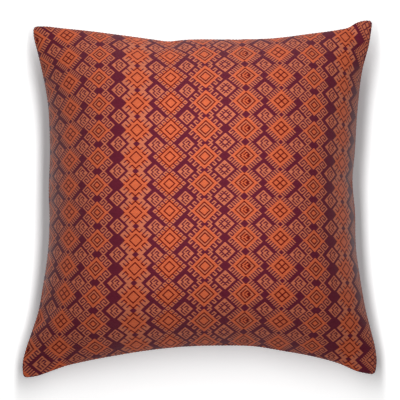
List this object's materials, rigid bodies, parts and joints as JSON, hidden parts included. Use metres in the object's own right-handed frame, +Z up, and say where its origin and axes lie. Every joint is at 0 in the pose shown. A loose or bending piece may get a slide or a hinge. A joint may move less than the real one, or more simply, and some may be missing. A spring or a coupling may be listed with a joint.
{
  "type": "cushion cover",
  "caption": "Square woven brocade cushion cover, filled, with a crowned face, drawn-in sides and turned corners, lying on its back.",
  "frame": {"origin": "on the surface that the cover rests on, under the middle of its outline", "axes": "+Z up out of the face, +Y towards the picture's top side, +X towards its right side"},
  "size_m": [0.439, 0.4436, 0.1496],
  "materials": {
    "woven_brocade": "matt woven cotton brocade, orange figure on a plum ground"
  },
  "bodies": {
    "root": {"cushion_cover": "woven_brocade"}
  },
  "joints": []
}
